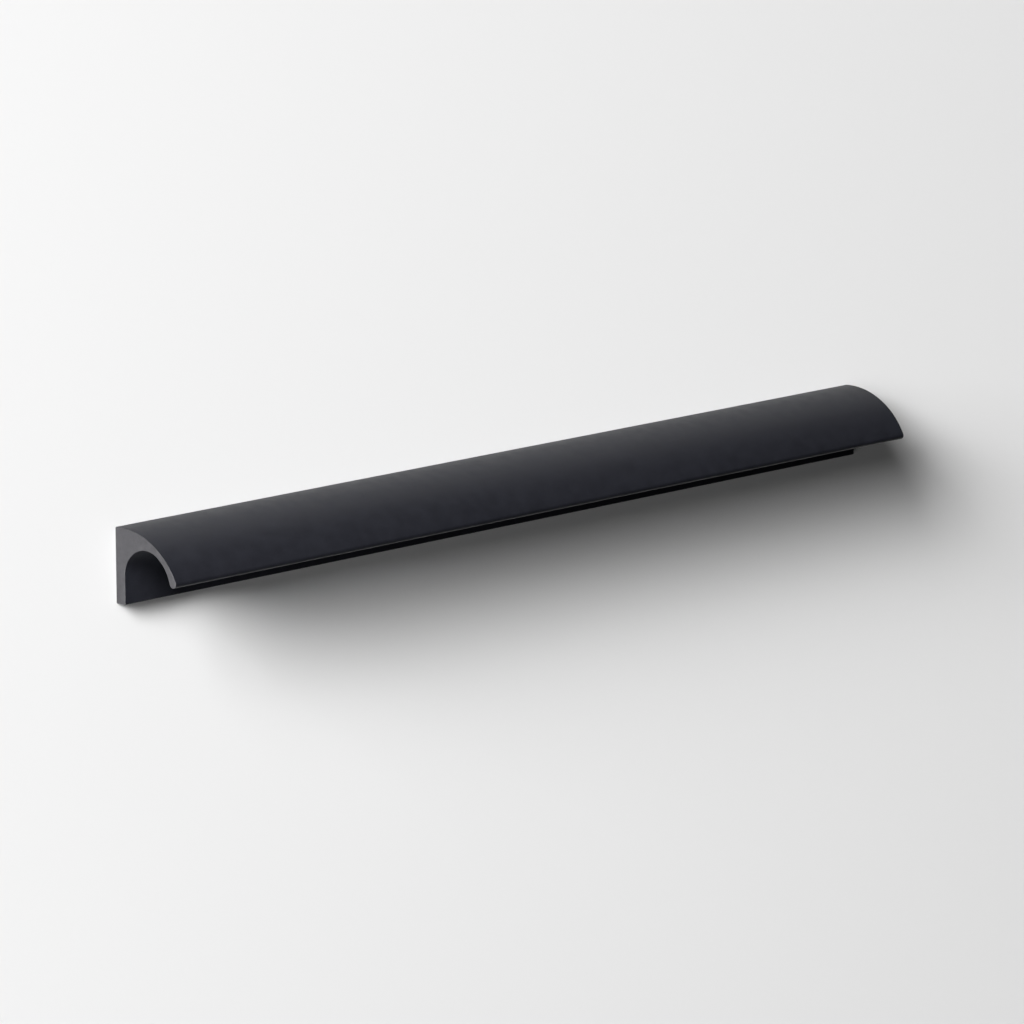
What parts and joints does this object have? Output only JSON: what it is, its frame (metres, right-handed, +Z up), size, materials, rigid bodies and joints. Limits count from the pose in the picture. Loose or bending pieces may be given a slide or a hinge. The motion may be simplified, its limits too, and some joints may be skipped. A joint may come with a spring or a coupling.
{
  "type": "cabinet pull",
  "caption": "Long black extruded drawer and cabinet pull with a convex front, a rounded lip and an arched finger hollow below, fixed by machine screws from behind.",
  "frame": {"origin": "on the flat back face, halfway between the two screw holes and at their height", "axes": "+X along the pull, +Y out of the back face into the cabinet front, +Z up"},
  "size_m": [0.3, 0.0215, 0.0202],
  "materials": {
    "black_anodised": "matte black, fine blasted and anodised all over, cut ends included"
  },
  "bodies": {
    "root": {"pull_profile": "black_anodised"}
  },
  "joints": []
}
